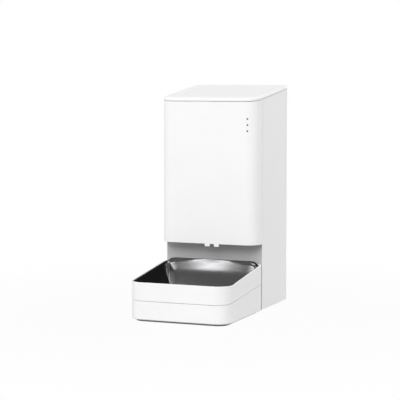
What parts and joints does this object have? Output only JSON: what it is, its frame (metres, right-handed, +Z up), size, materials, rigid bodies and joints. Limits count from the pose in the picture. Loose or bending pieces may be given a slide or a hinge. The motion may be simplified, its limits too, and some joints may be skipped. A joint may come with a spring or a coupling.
{
  "type": "pet feeder",
  "caption": "Tall automatic pet feeder: a sloped-lid food tower with a dosing wheel and spout over a docked tray that holds a lift-out rounded rectangular steel bowl.",
  "frame": {"origin": "on the floor, under the middle of the outline", "axes": "+X to the right in a front view, seen from the pet's side; -Y towards the pet, where the tray is; +Z up"},
  "size_m": [0.16, 0.275, 0.3499],
  "materials": {
    "white_shell": "satin white moulded plastic",
    "white_inner": "matt white moulded plastic",
    "bin_plastic": "smooth pale grey food-grade plastic",
    "bowl_steel": "satin polished stainless steel",
    "seal_silicone": "soft grey silicone",
    "wheel_silicone": "flexible grey silicone",
    "foot_rubber": "matt grey rubber",
    "strip_rubber": "pale grey rubber strip",
    "gear_acetal": "ivory acetal",
    "board_green": "solder-masked circuit board",
    "black_plastic": "matt black plastic",
    "light_smoke": "dark smoked light guide",
    "fastener_steel": "zinc-plated steel",
    "magnet_nickel": "nickel-plated magnet",
    "motor_case": "plated metal can",
    "cell_jacket": "plain grey battery jacket",
    "contact_metal": "nickel-plated spring metal",
    "pouch_fabric": "white nonwoven pouch"
  },
  "bodies": {
    "tower": {"main_housing": "white_shell", "front_cover": "white_shell", "base_plate": "white_inner", "food_hopper": "bin_plastic", "metering_chamber": "white_inner", "outlet_chute": "white_shell", "gear_case": "white_inner", "drive_motor": "motor_case", "control_board": "board_green", "power_socket": "black_plastic", "feed_switch": "black_plastic", "light_board": "board_green", "status_light_top": "light_smoke", "status_light_middle": "light_smoke", "status_light_bottom": "light_smoke", "drop_sensor_left": "black_plastic", "drop_sensor_right": "black_plastic", "battery_contact_front": "contact_metal", "battery_contact_rear": "contact_metal", "battery_cell_left": "cell_jacket", "battery_cell_middle": "cell_jacket", "battery_cell_right": "cell_jacket", "tower_foot_front_left": "foot_rubber", "tower_foot_front_right": "foot_rubber", "tower_foot_rear_left": "foot_rubber", "tower_foot_rear_right": "foot_rubber", "base_screw_front_left": "fastener_steel", "base_screw_front_right": "fastener_steel", "base_screw_rear_left": "fastener_steel", "base_screw_rear_right": "fastener_steel", "chamber_screw_front_left": "fastener_steel", "chamber_screw_front_right": "fastener_steel", "chamber_screw_rear_left": "fastener_steel", "chamber_screw_rear_right": "fastener_steel", "dock_magnet_left": "magnet_nickel", "dock_magnet_right": "magnet_nickel"},
    "lid": {"lid_shell": "white_shell", "lid_liner": "white_inner", "lid_seal": "seal_silicone", "desiccant_box": "white_inner", "desiccant_pouch": "pouch_fabric"},
    "desiccant_cap": {"desiccant_cap": "white_inner"},
    "release_button": {"release_button": "white_shell"},
    "feed_button": {"feed_button": "white_shell"},
    "dosing_wheel": {"dosing_wheel": "wheel_silicone", "stirrer": "white_inner", "wheel_shaft": "fastener_steel", "drive_gear": "gear_acetal"},
    "idler_gear": {"idler_gear": "gear_acetal"},
    "motor_pinion": {"motor_pinion": "fastener_steel"},
    "battery_door": {"battery_door": "white_inner"},
    "tray": {"tray_base": "white_shell", "bowl_holder": "white_shell", "tray_skid": "strip_rubber", "tray_magnet_left": "magnet_nickel", "tray_magnet_right": "magnet_nickel"},
    "bowl": {"steel_bowl": "bowl_steel"}
  },
  "joints": [
    {"name": "lid_lift", "type": "slide", "parent": "tower", "child": "lid", "axis": [0, 0, 1], "range_m": [0, 0.06]},
    {"name": "desiccant_cap_twist", "type": "hinge", "parent": "lid", "child": "desiccant_cap", "pos_m": [0, 0.06425, 0.304], "axis": [0, 0, 1], "range_deg": [0, 45]},
    {"name": "release_press", "type": "slide", "parent": "tower", "child": "release_button", "axis": [0, -1, 0], "range_m": [0, 0.002], "stiffness_N_per_m": 400, "springref_m": -0.002},
    {"name": "feed_press", "type": "slide", "parent": "tower", "child": "feed_button", "axis": [0, -1, 0], "range_m": [0, 0.0015], "stiffness_N_per_m": 400, "springref_m": -0.002},
    {"name": "wheel_turn", "type": "hinge", "parent": "tower", "child": "dosing_wheel", "pos_m": [0, 0.05765, 0.14], "axis": [0, 0, 1], "continuous": true},
    {"name": "idler_turn", "type": "hinge", "parent": "tower", "child": "idler_gear", "pos_m": [0, 0.09015, 0.125], "axis": [0, 0, 1], "continuous": true},
    {"name": "pinion_turn", "type": "hinge", "parent": "tower", "child": "motor_pinion", "pos_m": [0, 0.1089, 0.125], "axis": [0, 0, 1], "continuous": true},
    {"name": "battery_door_slide", "type": "slide", "parent": "tower", "child": "battery_door", "axis": [0, 1, 0], "range_m": [0, 0.009]},
    {"name": "tray_pull", "type": "slide", "parent": "tower", "child": "tray", "axis": [0, -1, 0], "range_m": [0, 0.12]},
    {"name": "bowl_lift", "type": "slide", "parent": "tray", "child": "bowl", "axis": [0, 0, 1], "range_m": [0, 0.022]}
  ],
  "couplings": [
    {"joint": "idler_turn", "follows": "wheel_turn", "ratio": -1.6},
    {"joint": "pinion_turn", "follows": "wheel_turn", "ratio": 3.2}
  ]
}
